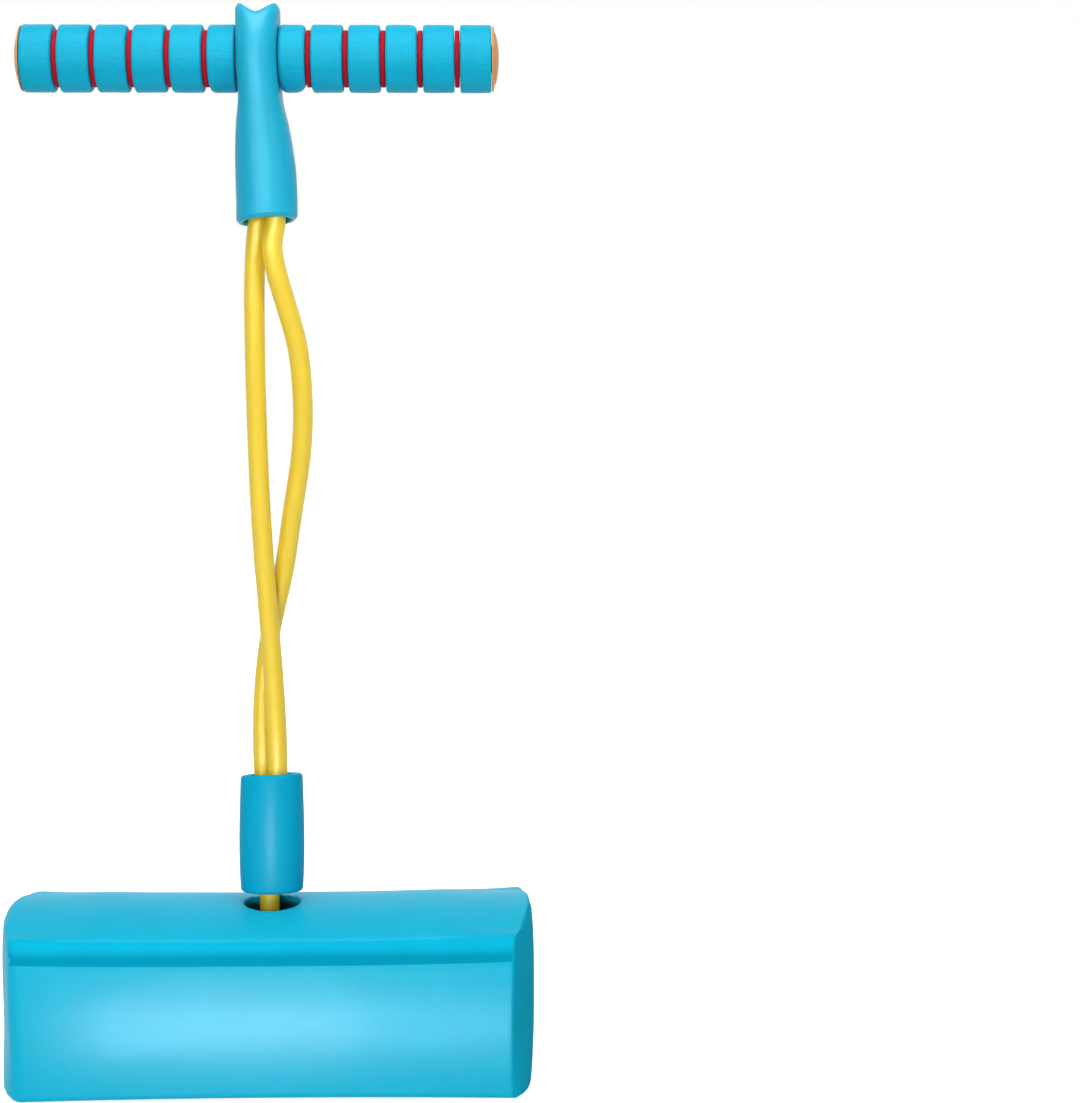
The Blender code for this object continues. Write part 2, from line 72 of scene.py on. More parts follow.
SWELL = 0.16 * MM  # slow unevenness of the foam's skin
SWELL_PACE = 38
BASE_ROWS = 40  # along each half, closer together towards its end
ROW_CROWDING = 1.3
BORE_DIAMETER = 26 * MM
BORE_LIP = 1.6 * MM
HOLE_SIDES = 72
RIM_CHAMFER = 1.2 * MM  # of the openings underneath
RECESS_DIAMETER = 44 * MM
RECESS_DEPTH = 17 * MM
POCKET_DIAMETER = 44 * MM
POCKET_DEPTH = 34 * MM
SQUEAKER_X = 72 * MM
SQUEAKER_WIDE = POCKET_DIAMETER / 2 - 2 * GAP
FOOT_LEVELS = (0.6 * MM, 4.6 * MM)
FOOT_GROOVE = 0.9 * MM
FOOT_GROOVES = (5 * MM, 10 * MM, 15 * MM)  # their inner radii
BELLOWS_WALL = 1.4 * MM
BELLOWS_FOLD = 3.5 * MM
BELLOWS_FOLDS = 3
REED_DIAMETER = 10 * MM
CRIMP_WALL = 1.7 * MM
CRIMP_SIDES = 40

# Cord
CORD_DIAMETER = 9.5 * MM
CORD_RADIUS = CORD_DIAMETER / 2
CORD_SIDES = 24
CORD_STEP = 2 * MM
PIVOT_Z = BASE_HEIGHT - 5 * MM
BAR_Z = PIVOT_Z + 406 * MM
CORE_DIAMETER = 16 * MM
EYE_RADIUS = CORE_DIAMETER / 2 + GAP + CORD_RADIUS
ANCHOR_SPREAD = 15 * MM
ANCHOR_LEVELS = (4.4 * MM, 12.7 * MM, 16.7 * MM, 20.7 * MM)
ROOT_TOP = PIVOT_Z - 16 * MM
BEND_TOP = PIVOT_Z + 16 * MM
EYE_LOW = BAR_Z - 36.5 * MM
# The strands' routes, as in the part's source: X, Y and height above the pivot, in millimetres
STRAIGHT_ROUTE = [
    (-0.6, -5.0, -6),
    (-0.7, -4.7, 8),
    (0.6, -3.0, 22),
    (2.3, 0.2, 39),
    (3.2, 4.6, 64),
    (3.1, 6.8, 80),
    (1.8, 8.5, 112),
    (0.4, 8.3, 135),
    (-2.1, 5.6, 178),
    (-3.3, -2.5, 244),
    (-3.0, -8.0, 276),
    (-2.2, -11.4, 308),
    (-1.4, -12.2, 320),
    (0.0, -11.3, 333),
    (1.2, -4.6, 354),
    (1.0, 2.0, 374),
    (0.4, 8.8, 389),
]
SLACK_ROUTE = [
    (-1.2, 5.0, -6),
    (-1.6, 5.2, 8),
    (-1.9, 6.8, 22),
    (-2.8, 8.9, 39),
    (-4.0, 11.4, 64),
    (-4.6, 13.6, 80),
    (-3.4, 17.2, 112),
    (-0.2, 18.6, 135),
    (6.2, 16.6, 162),
    (11.6, 11.5, 193),
    (17.2, 4.2, 227),
    (18.3, -2.0, 250),
    (16.4, -8.5, 276),
    (12.4, -13.5, 293),
    (8.6, -17.4, 308),
    (6.6, -18.6, 320),
    (8.2, -17.0, 333),
    (5.0, -14.5, 354),
    (2.9, -13.7, 374),
    (1.0, -13.7, 389),
]

# Sleeves
SLEEVE_SIDES = 72
LOWER_BORE = 22.6 * MM  # with room for the strands when the sleeve slides up
LOWER_WALL = 3.7 * MM
LOWER_BORE_SHIFT = 1.0 * MM  # how far forward the bore's top lies
LOWER_LENGTH = 55.5 * MM
LOWER_BOTTOM = BASE_HEIGHT + 5.4 * MM
LOWER_SET_BACK = 0.4 * MM
LOWER_LEAN = math.radians(8.3)
LOWER_BARREL = 0.7 * MM
LOWER_BORE_ACROSS = 19.8 * MM  # the bore's width, snug beside the strands
LOWER_TOP_TILT = 0.035  # how much the top edge rises to the right
LOWER_TOP_LIP = 0.045  # and to the front
SLEEVE_EDGE = 1.8 * MM
UPPER_STEPS = 60
UPPER_EDGE = 1.3 * MM
INNER_EDGE_SHARE = 0.6  # of the outer edges' rounding
UPPER_WALL = 3.3 * MM
UPPER_MOUTH = 13.8 * MM  # half the depth of the open end
UPPER_DEEPEST = 21.8 * MM  # half the depth where the cord goes round the handle
UPPER_DROP = 73 * MM
UPPER_MOUTH_Y = -14 * MM
UPPER_MOUTH_X = 3.8 * MM
UPPER_LEAN = math.radians(11)
UPPER_TILT = 0.08  # how much lower the left of the open end hangs, for its width
UPPER_FULLER = 0.6 * MM  # how much the right flank swells at the open end
WAIST_FROM = 0.76  # the share of the drop where the waist begins
WAIST_SIDE = 9.15 * MM
WAIST_FULLER = 0.5 * MM  # how much the right of the waist swells towards the first ring
TIP_RISE = 24.7 * MM
TIP_DIP = 4.2 * MM
BAR_HOLE_SIDES = 48

# Handle
RING_DIAMETER = 30.8 * MM
RING_WIDTH = 14.3 * MM
INNER_RING_WIDTH = 12 * MM
RING_EDGE = 1.1 * MM
RING_SIDES = 64
RINGS_PER_SIDE = 6
RING_START = 10.15 * MM
RING_SWELL = 0.14 * MM  # slow and fine unevenness of a ring's skin
RING_GRAIN = 0.05 * MM
RING_SHIFT = 0.12 * MM  # the same along the handle, fading in from the inner face
RING_SHIFT_FADE = 3 * MM
RING_PACE = 90
INNER_RING_SWELL = {"left": 0.45 * MM, "right": 0}  # the first rings' extra width towards the sleeve
INNER_RING_EDGE = {"left": 1.1 * MM, "right": 1.9 * MM}  # their rounding beside it
# Extra rounding of some rings by side and number, as spots of (angle, amount, spread) at each end
CUT_EDGES = {
    ("left", 1): ([], [(-90, 1.8 * MM, 35)]),
    ("left", 4): ([(70, 1.6 * MM, 40)], []),
    ("left", 5): ([(-80, 1.0 * MM, 40)], []),
    ("right", 1): ([(-90, 1.6 * MM, 60)], [(-75, 4.0 * MM, 45), (80, 1.2 * MM, 35)]),
    ("right", 2): ([(-90, 0.6 * MM, 40)], []),
    ("right", 4): ([], [(75, 2.6 * MM, 38)]),
}
SPACER_DIAMETER = 26 * MM
SPACER_WIDTH = 2.15 * MM
CAP_DIAMETER = 29.8 * MM
CAP_RIM = 0.6 * MM
CAP_DOME = 2.6 * MM
CAP_EDGE = 0.2 * MM
CAP_STEPS = 28
CAP_GROOVE = 0.45 * MM
CAP_GROOVE_AT = 0.82  # its place and width as shares of the cap's radius
CAP_GROOVE_WIDE = 0.05
CORE_BORE = 13 * MM
PLUG_LENGTH = 14 * MM
TURNED_SIDES = 56  # of the caps, the spacers and the core

# Shading
MIX_FACTOR, MIX_A, MIX_B = 0, 6, 7  # the colour inputs of a mix node
MIX_RESULT = 2
ROUGHNESS_PLAY = 0.06  # how far a surface's roughness varies either way


def mesh_piece(name, points, faces, look, sharp=38):
    """A smooth mesh object that faces out, with edges sharper than an angle left crisp."""
    mesh = bpy.data.meshes.new(name)
    mesh.from_pydata(points, [], faces)
    shape = bmesh.new()
    shape.from_mesh(mesh)
    bmesh.ops.recalc_face_normals(shape, faces=shape.faces)
    shape.to_mesh(mesh)
    shape.free()
    made = bpy.data.objects.new(name, mesh)
    if look:
        mesh.materials.append(look)
    bpy.context.collection.objects.link(made)
    crisp(made, sharp)
    return made


def crisp(piece, angle):
    piece.data.shade_smooth()
    piece.data.set_sharp_from_angle(angle=math.radians(angle))


def bridge(loops, ring):
    """Points and faces through loops of equal length: a ring of loops, or a row with filled ends."""
    count = len(loops[0])
    points = [p for loop in loops for p in loop]
    faces = []
    pairs = len(loops) if ring else len(loops) - 1
    for i in range(pairs):
        a = i * count
        b = (i + 1) % len(loops) * count
        for k in range(count):
            n = (k + 1) % count
            faces.append((a + k, a + n, b + n, b + k))
    if not ring:
        faces.append(tuple(range(count)))
        faces.append(tuple(range(len(points) - count, len(points))))
    return points, faces


def turned(profile, axis, ring, sides, centre=(0, 0, 0)):
    """Points and faces of a profile of (radius, height) turned round Z or X."""
    loops = []
    for radius, height in profile:
        loop = []
        for k in range(sides):
            turn = 2 * math.pi * k / sides
            a = radius * math.cos(turn)
            b = radius * math.sin(turn)
            place = (a, b, height) if axis == "Z" else (height, a, b)
            loop.append(tuple(p + c for p, c in zip(place, centre)))
        loops.append(loop)
    return bridge(loops, ring)


def arc(centre, radius, start, end, steps):
    found = []
    for i in range(steps + 1):
        turn = start + (end - start) * i / steps
        found.append((centre[0] + radius * math.cos(turn), centre[1] + radius * math.sin(turn)))
    return found


def cut(piece, tools, sharp=38):
    """Takes the tools' shapes out of a piece for good."""
    for tool in tools:
        change = piece.modifiers.new(tool.name, "BOOLEAN")
        change.operation = "DIFFERENCE"
        change.solver = "EXACT"
        change.object = tool
    view = bpy.context.evaluated_depsgraph_get()
    settled = bpy.data.meshes.new_from_object(piece.evaluated_get(view))
    piece.modifiers.clear()
    piece.data = settled
    for tool in tools:
        bpy.data.objects.remove(tool, do_unlink=True)
    crisp(piece, sharp)


def add_node(tree, kind, inputs, **settings):
    made = tree.nodes.new(kind)
    for name, value in settings.items():
        setattr(made, name, value)
    for name, value in inputs.items():
        if isinstance(value, bpy.types.NodeSocket):
            tree.links.new(value, made.inputs[name])
        else:
            made.inputs[name].default_value = value
    return made


def combine(tree, operation, a, b):
    return add_node(tree, "ShaderNodeMath", {0: a, 1: b}, operation=operation).outputs["Value"]


def ramp(tree, factor, stops):
    made = add_node(tree, "ShaderNodeValToRGB", {"Fac": factor})
    elements = made.color_ramp.elements
    while len(elements) < len(stops):
        elements.new(0.5)
    for element, (place, colour) in zip(elements, stops):
        element.position = place
        element.color = (*colour, 1)
    return made.outputs["Color"]


def shade(colour, factor):
    return tuple(min(1, c * factor) for c in colour)


def soft_look(name, colour, roughness, specular, mottle, grain, depth, stretch=(1, 1, 1), painted_shade=None):
    """A moulded or cut soft surface: slow mottling in its colour, and a fine grain in relief.

    A painted shade is (low height, high height, tone): the tone darkens the surface at the low height, as
    painted shade.
    """
    look = bpy.data.materials.new(name)
    look.use_nodes = True
    tree = look.node_tree
    shader = tree.nodes["Principled BSDF"]
    shader.inputs["Metallic"].default_value = 0
    shader.inputs["Specular IOR Level"].default_value = specular
    place = where = add_node(tree, "ShaderNodeTexCoord", {}).outputs["Object"]
    if stretch != (1, 1, 1):
        place = add_node(tree, "ShaderNodeMapping", {"Vector": place, "Scale": stretch}).outputs["Vector"]
    slow = add_node(
        tree, "ShaderNodeTexNoise", {"Vector": place, "Scale": 45, "Detail": 4, "Roughness": 0.55}
    ).outputs["Fac"]
    fine = add_node(
        tree, "ShaderNodeTexNoise", {"Vector": place, "Scale": grain, "Detail": 3, "Roughness": 0.6}
    ).outputs["Fac"]
    cells = add_node(
        tree, "ShaderNodeTexVoronoi", {"Vector": place, "Scale": grain * 1.7}, feature="SMOOTH_F1"
    ).outputs["Distance"]
    average = combine(tree, "MULTIPLY", combine(tree, "ADD", slow, fine), 0.5)
    dark = shade(colour, 1 - mottle)
    light = shade(colour, 1 + mottle)
    painted = ramp(tree, average, [(0.35, dark), (0.65, light)])
    # Painted shade: the colour is multiplied by a darker tone towards the low height.
    if painted_shade:
        level = add_node(tree, "ShaderNodeSeparateXYZ", {"Vector": where}).outputs["Z"]
        share = add_node(
            tree,
            "ShaderNodeMapRange",
            {"Value": level, "From Min": painted_shade[0], "From Max": painted_shade[1]},
            interpolation_type="SMOOTHSTEP",
        ).outputs["Result"]
        tone = ramp(tree, share, [(0.0, painted_shade[2]), (1.0, (1, 1, 1))])
        colours = {MIX_FACTOR: 1.0, MIX_A: painted, MIX_B: tone}
        mix = add_node(tree, "ShaderNodeMix", colours, data_type="RGBA", blend_type="MULTIPLY")
        painted = mix.outputs[MIX_RESULT]
    tree.links.new(painted, shader.inputs["Base Color"])
    rough = add_node(
        tree,
        "ShaderNodeMapRange",
        {
            "Value": fine,
            "From Min": 0.3,
            "From Max": 0.7,
            "To Min": roughness - ROUGHNESS_PLAY,
            "To Max": roughness + ROUGHNESS_PLAY,
        },
    ).outputs["Result"]
    tree.links.new(rough, shader.inputs["Roughness"])
    relief = combine(tree, "ADD", fine, cells)
    bump = add_node(tree, "ShaderNodeBump", {"Height": relief, "Strength": 0.5, "Distance": depth})
    tree.links.new(bump.outputs["Normal"], shader.inputs["Normal"])
    return look


def base_half_section():
    """(depth, height) of half the base's section, from the floor's middle round to the top's."""
    floor_steps, round_steps, face_steps, slope_steps, top_steps = 8, 8, 18, 5, 14
    half = BASE_DEPTH / 2
    foot = half - FACE_BULGE
    top_edge = foot - SHOULDER_INSET
    points = [((foot - FOOT_ROUND) * i / floor_steps, 0) for i in range(floor_steps)]
    points += arc((foot - FOOT_ROUND, FOOT_ROUND), FOOT_ROUND, -math.pi / 2, 0, round_steps)
    middle = (FACE_TOP + FOOT_ROUND) / 2
    reach = (FACE_TOP - FOOT_ROUND) / 2
    for i in range(1, face_steps + 1):
        step = -1 + 2 * i / face_steps
        points.append((half - FACE_BULGE * step * step, middle + reach * step))
    slope = Vector((-SHOULDER_INSET, SHOULDER_DROP))
    low = Vector((foot, FACE_TOP))
    corner = Vector((top_edge, BASE_HEIGHT - TOP_ARCH))
    start = corner - slope.normalized() * SHOULDER_ROUND
    over = top_edge - SHOULDER_ROUND
    finish = Vector((over, BASE_HEIGHT - TOP_ARCH * (over / top_edge) ** 2))
    for i in range(1, slope_steps):
        points.append(tuple(low.lerp(start, i / slope_steps)))
    for i in range(round_steps + 1):
        t = i / round_steps
        points.append(tuple(start * (1 - t) ** 2 + corner * 2 * t * (1 - t) + finish * t * t))
    for i in range(1, top_steps + 1):
        y = over * (1 - i / top_steps)
        points.append((y, BASE_HEIGHT - TOP_ARCH * (y / top_edge) ** 2))
    return points


def end_draw_in(height):
    if height < END_FULLEST:
        share = (END_FULLEST - max(height, 0)) / END_FULLEST
        return END_FOOT_DRAW_IN * share**2.6
    share = (height - END_FULLEST) / (BASE_HEIGHT - END_FULLEST)
    return END_TOP_DRAW_IN * share**4


def end_place(sign, y, z):
    """How far from the middle one of the base's ends lies, at a depth and a height."""
    end = 0 if sign < 0 else 1
    out = y / (BASE_DEPTH / 2 - FACE_BULGE)
    power = 2 + 3 * max(0, 1 - z / END_SQUARE) ** 2
    drop = END_BOW * abs(out) ** power - END_SKEW * out
    return END_REACH[end] - drop - end_draw_in(z)


def inset(outline, distance):
    """An outline of (depth, height) drawn in by a distance."""
    count = len(outline)
    found = []
    for i, (y, z) in enumerate(outline):
        before = Vector(outline[i - 1])
        after = Vector(outline[(i + 1) % count])
        along = (after - before).normalized()
        found.append((y - along.y * distance, z + along.x * distance))
    return found


def base_point(sign, share, y, z, back):
    """A point of the base a share of the way from its middle to one end, and set back from that end."""
    x = sign * (end_place(sign, y, z) * share - back)
    out = abs(x) / (BASE_LENGTH / 2)
    up = min(1, max(0, z / BASE_HEIGHT))
    flat = min(1, max(0, (out - LIFT_FLAT_FROM) / (1 - LIFT_FLAT_FROM)))
    crown = max(0, z - BASE_HEIGHT + TOP_ARCH) * flat * flat * (3 - 2 * flat)
    lift = max(0, END_LIFT[0 if sign < 0 else 1] * out**3 * up**4 - crown)
    lift += UNDER_ARCH * (1 - out * out) * (1 - up) ** 4
    where = Vector((x, y, z + lift))
    if z > MM:
        outward = Vector((0, y, z - BASE_HEIGHT / 2)).normalized()
        where += outward * SWELL * noise.noise(where * SWELL_PACE)
    return tuple(where)


def make_base(look, shaded_shoulder_look, cut_look, shaded_bore_look):
    half = base_half_section()
    outline = half + [(-y, z) for y, z in reversed(half[1:-1])]
    rows = []
    for sign, edge in ((-1, LEFT_EDGE), (1, RIGHT_EDGE)):
        side = []
        for i in range(1 if sign > 0 else 0, BASE_ROWS):
            share = 1 - (1 - i / BASE_ROWS) ** ROW_CROWDING
            back = edge * share
            side.append([base_point(sign, share, y, z, back) for y, z in outline])
        for i in range(EDGE_STEPS + 1):
            turn = math.pi / 2 * i / EDGE_STEPS
            drawn = inset(outline, edge * (1 - math.cos(turn)))
            back = edge * (1 - math.sin(turn))
            side.append([base_point(sign, 1, y, z, back) for y, z in drawn])
        for share in END_RINGS:
            ring = [(y * share, END_CENTRE + (z - END_CENTRE) * share) for y, z in drawn]
            side.append([base_point(sign, 1, y, z, 0) for y, z in ring])
        rows = list(reversed(side)) + rows if sign < 0 else rows + side
    base = mesh_piece("base_foam", *bridge(rows, False), look)
    bore = BORE_DIAMETER / 2
    lip = arc((bore + BORE_LIP, BASE_HEIGHT - BORE_LIP), BORE_LIP, math.pi, math.pi / 2, 10)
    rise = BASE_HEIGHT + BORE_LIP
    profile = [(bore, RECESS_DEPTH - MM)] + lip + [(bore + BORE_LIP, rise)]
    tools = [mesh_piece("bore_tool", *turned(profile, "Z", False, HOLE_SIDES), None)]
    for name, x, width, depth in (
        ("recess_tool", 0, RECESS_DIAMETER, RECESS_DEPTH),
        ("pocket_tool", SQUEAKER_X, POCKET_DIAMETER, POCKET_DEPTH),
    ):
        wide = width / 2
        rim = wide + RIM_CHAMFER
        profile = [(rim, -MM), (rim, 0), (wide, RIM_CHAMFER), (wide, depth)]
        tools.append(mesh_piece(name, *turned(profile, "Z", False, HOLE_SIDES, (x, 0, 0)), None))
    cut(base, tools)
    paint_base(base, shaded_shoulder_look, cut_look, shaded_bore_look)
    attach(base, "base")
    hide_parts("foam_base")


def paint_base(base, shaded_shoulder_look, cut_look, shaded_bore_look):
    """Gives the base's shoulders, its cut right end and its bore looks of their own; the shoulders' and the
    bore's looks carry painted shade.
    """
    for more in (shaded_shoulder_look, cut_look, shaded_bore_look):
        base.data.materials.append(more)
    shoulder, cut_end, bore = 1, 2, 3
    bore_reach = BORE_DIAMETER / 2 + BORE_LIP * 0.6
    for face in base.data.polygons:
        middle = face.center
        slant = face.normal
        sloped = abs(slant.y) > 0.6 and slant.z > 0.2
        if slant.x > 0.45 and middle.x > 0.4 * BASE_LENGTH:
            face.material_index = cut_end
        # The shoulders take the look with painted shade.
        elif sloped and FACE_TOP < middle.z and abs(middle.y) > 0.3 * BASE_DEPTH:
            face.material_index = shoulder
        # The bore's wall takes the look with painted shade.
        elif math.hypot(middle.x, middle.y) < bore_reach and middle.z > RECESS_DEPTH:
            face.material_index = bore


def smooth_line(points, step):
    """Points about a step apart on a smooth curve through a route's own points."""
    route = [Vector(p) for p in points]
    spans = [(b - a).length for a, b in zip(route, route[1:])]
    slopes = [(b - a) / span for a, b, span in zip(route, route[1:], spans)]
    ends = [slopes[0]]
    for before, after, short, long in zip(slopes, slopes[1:], spans, spans[1:]):
        ends.append((before * long + after * short) / (short + long))
    ends.append(slopes[-1])
    found = []
    for i, span in enumerate(spans):
        pieces = max(2, round(span / step))
        for k in range(pieces):
            t = k / pieces
            rise = t * t * (3 - 2 * t)
            leave = ends[i] * span * t * (1 - t) ** 2
            arrive = ends[i + 1] * span * t * t * (t - 1)
            found.append(route[i].lerp(route[i + 1], rise) + leave + arrive)
    found.append(route[-1])
    return found


def strand_line(route, end_side, bar_side):
    """A strand's centre line, from its end under the base to the level of the handle's axis."""
    spread = end_side * ANCHOR_SPREAD / 2
    points = [(0, spread, level) for level in ANCHOR_LEVELS]
    points += [(x * MM, y * MM, PIVOT_Z + z * MM) for x, y, z in route]
    points.append((0, bar_side * EYE_RADIUS, BAR_Z))
    return smooth_line(points, MM)


def cut_line(line, low, high):
    """The stretch of a rising line between two heights, with its ends exactly there."""
    found = []
    for a, b in zip(line, line[1:]):
        for level in (low, high):
            if a.z < level <= b.z:
                found.append(a.lerp(b, (level - a.z) / (b.z - a.z)))
        if low < b.z < high:
            found.append(b)
    return found


def line_length(line):
    return sum((b - a).length for a, b in zip(line, line[1:]))


def spaced(line, step):
    """The same line with its points a step apart."""
    whole = line_length(line)
    count = max(2, math.ceil(whole / step))
    gap = whole / count
    found = [line[0]]
    gone = 0.0
    for a, b in zip(line, line[1:]):
        piece = (b - a).length
        while len(found) < count and gone + piece >= gap * len(found):
            found.append(a.lerp(b, (gap * len(found) - gone) / piece))
        gone += piece
    found.append(line[-1])
    return found


def tube(name, line, look):
    """A round cord along a line, with its rings square to it and no twist, and the ring centres."""
    path = spaced(line, CORD_STEP)
    across = Vector((1, 0, 0))
    loops = []
    for i, here in enumerate(path):
        ahead = path[min(i + 1, len(path) - 1)] - path[max(i - 1, 0)]
        ahead.normalize()
        across = (across - ahead * across.dot(ahead)).normalized()
        other = ahead.cross(across)
        loop = []
        for k in range(CORD_SIDES):
            turn = 2 * math.pi * k / CORD_SIDES
            loop.append(tuple(here + (across * math.cos(turn) + other * math.sin(turn)) * CORD_RADIUS))
        loops.append(loop)
    return mesh_piece(name, *bridge(loops, False), look, 60), path


def make_cord(look, shaded_mouth_look):
    straight = strand_line(STRAIGHT_ROUTE, -1, 1)
    slack = strand_line(SLACK_ROUTE, 1, -1)
    low = straight[0].z + GAP
    for end, side, line in (("front", "left", straight), ("back", "right", slack)):
        root, _ = tube(f"cord_tail_{end}", cut_line(line, low, ROOT_TOP), look)
        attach(root, "base")
        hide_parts(f"cord_root_{end}")
        # The cord's bends near the base take the rubber look with painted shade.
        lower, _ = tube(f"cord_bend_low_{end}", cut_line(line, ROOT_TOP, PIVOT_Z), shaded_mouth_look)
        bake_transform(lower)
        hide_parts(f"cord_mouth_{end}")
        upper, _ = tube(f"cord_bend_high_{end}", cut_line(line, PIVOT_Z, BEND_TOP), shaded_mouth_look)
        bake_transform(upper)
        strand_path = cut_line(line, BEND_TOP, EYE_LOW)
        strand, path = tube(f"elastic_strand_{side}", strand_path, look)
        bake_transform(strand)
        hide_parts(f"cord_strand_{side}")
    over = arc((0, BAR_Z), EYE_RADIUS, 0, math.pi, 24)
    eye = cut_line(straight, EYE_LOW, BAR_Z - GAP)
    eye += [Vector((0, y, z)) for y, z in over]
    eye += list(reversed(cut_line(slack, EYE_LOW, BAR_Z - GAP)))
    loop, _ = tube("elastic_eye", eye, look)
    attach(loop, "hanger")
    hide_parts("cord_eye")


def sleeve_loop(centre, across, deep, lean, rise=0, tilt=0):
    """One section of a sleeve: a round end at its front and back, with straight sides between."""
    loop = []
    for k in range(SLEEVE_SIDES):
        turn = 2 * math.pi * k / SLEEVE_SIDES
        side = 0 if k % (SLEEVE_SIDES // 2) == 0 else math.copysign(1, math.sin(turn))
        x = across * math.cos(turn)
        y = across * math.sin(turn) + side * (deep - across)
        z = rise * abs(math.cos(turn)) ** 1.3 + tilt * x - y * math.sin(lean)
        loop.append((centre[0] + x, centre[1] + y * math.cos(lean), centre[2] + z))
    return loop


def lower_rim(point, centre, wide, share):
    """A point of the lower sleeve, raised towards the right and front by a share of the rim's rise."""
    x, y, z = point
    rise = LOWER_TOP_TILT * (x - centre.x + wide) + LOWER_TOP_LIP * (wide - y + centre.y)
    return (x, y, z + rise * share)


def make_lower_sleeve(look):
    axis = Vector((0, math.sin(LOWER_LEAN), math.cos(LOWER_LEAN)))
    start = Vector((0, LOWER_SET_BACK, LOWER_BOTTOM))
    bore = LOWER_BORE / 2
    wide = bore + LOWER_WALL
    edge = SLEEVE_EDGE
    length = LOWER_LENGTH
    round_steps, wall_steps, bore_steps = 6, 16, 6
    lip = [(bore, edge * 0.35), (bore + edge * 0.1, edge * 0.1), (bore + edge * 0.3, 0)]
    profile = lip + arc((wide - edge, edge), edge, -math.pi / 2, 0, round_steps)
    for i in range(1, wall_steps):
        share = i / wall_steps
        along = edge + (length - 2 * edge) * share
        profile.append((wide + LOWER_BARREL * math.sin(math.pi * share**0.8), along))
    profile += arc((wide - edge, length - edge), edge, 0, math.pi / 2, round_steps)
    profile += [(radius, length - along) for radius, along in reversed(lip)]
    profile += [(bore, length * (1 - i / bore_steps)) for i in range(1, bore_steps)]
    loops = []
    for radius, along in profile:
        centre = start + axis * along
        across = radius
        if radius <= lip[-1][0]:
            centre.y -= LOWER_BORE_SHIFT * along / length
            across -= bore - LOWER_BORE_ACROSS / 2
        loop = sleeve_loop(centre, across, radius, LOWER_LEAN)
        share = max(0, 2 * along / length - 1)
        loops.append([lower_rim(p, centre, wide, share) for p in loop])
    sleeve = mesh_piece("sleeve_lower", *bridge(loops, True), look)
    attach(sleeve, "collar")
    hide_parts("lower_sleeve")


def eased(rows, t):
    """Values between rows of (place, value, ...), on a smooth curve through them."""
    for i in range(len(rows) - 1):
        if t <= rows[i + 1][0]:
            break
    here = rows[i]
    there = rows[i + 1]
    before = rows[max(i - 1, 0)]
    after = rows[min(i + 2, len(rows) - 1)]
    span = there[0] - here[0]
    u = (t - here[0]) / span
    rise = u * u * (3 - 2 * u)
    found = []
    for k in range(1, len(here)):
        leave = (there[k] - before[k]) / (there[0] - before[0]) * span
        arrive = (after[k] - here[k]) / (after[0] - here[0]) * span
        value = here[k] + (there[k] - here[k]) * rise
        found.append(value + leave * u * (1 - u) ** 2 + arrive * u * u * (u - 1))
    return found


def upper_rows():
    """Rows of the upper sleeve, from its open end up.

    Each is (height from the handle's axis, half width, half depth, X, Y, lean, rise, tilt).
    """
    mouth = UPPER_MOUTH
    deepest = UPPER_DEEPEST
    rows = []
    for share, across, deep in (
        (0, mouth, mouth),
        (0.12, mouth, mouth * 1.01),
        (0.3, mouth * 0.99, mouth * 1.09),
        (0.46, mouth * 0.93, mouth * 1.2),
        (0.6, mouth * 0.83, mouth * 1.34),
        (WAIST_FROM, WAIST_SIDE * 1.02, deepest * 0.95),
        (1, WAIST_SIDE, deepest),
    ):
        left = 1 - share
        bend = left * (0.35 + 0.65 * left)
        lean = UPPER_LEAN * min(1, 2 * bend)
        swell = UPPER_FULLER / 2 * max(0, 1 - share / WAIST_FROM) + WAIST_FULLER / 2 * (share == 1)
        x = UPPER_MOUTH_X * min(1, left * 1.25) + swell
        tilt = UPPER_TILT * min(1, 1.6 * left)
        y = UPPER_MOUTH_Y * left**1.25
        rows.append((-UPPER_DROP * left, across + swell, deep, x, y, lean, 0, tilt))
    shoulder = CORE_DIAMETER / 2 + CORD_RADIUS
    x = WAIST_FULLER / 2
    waist = WAIST_SIDE + x
    rows.append((shoulder / 2, waist, deepest * 0.97, x, 0, 0, 0, 0))
    rows.append((shoulder, waist * 1.02, deepest * 0.86, x, 0, 0, TIP_DIP * 0.25, 0))
    rows.append((TIP_RISE - TIP_DIP, waist * 1.05, deepest * 0.66, x, 0, 0, TIP_DIP, 0))
    return rows


def make_upper_sleeve(look):
    rows = upper_rows()
    low, high = rows[0][0], rows[-1][0]
    outer = []
    inner = []
    edge = UPPER_EDGE
    for i in range(UPPER_STEPS + 1):
        height = low + (high - low) * i / UPPER_STEPS
        across, deep, x, y, lean, rise, tilt = eased(rows, height)
        ends = min(height - low, high - height)
        nip = 0
        if ends < edge:
            nip = edge - math.sqrt(max(0, edge**2 - (edge - ends) ** 2))
        centre = (x, y, BAR_Z + height - tilt * across)
        outer.append(sleeve_loop(centre, across - nip, deep - nip, lean, rise, tilt))
        wall = UPPER_WALL - nip * INNER_EDGE_SHARE
        inner.append(sleeve_loop(centre, across - wall, deep - wall, lean, rise, tilt))
    sleeve = mesh_piece("sleeve_upper", *bridge(outer + list(reversed(inner)), True), look)
    hole = CORE_DIAMETER / 2 + GAP
    profile = [(hole, -2 * WAIST_SIDE), (hole, 2 * WAIST_SIDE)]
    bar = turned(profile, "X", False, BAR_HOLE_SIDES, (0, 0, BAR_Z))
    cut(sleeve, [mesh_piece("bar_tool", *bar, None)])
    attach(sleeve, "hanger")
    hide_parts("upper_sleeve")


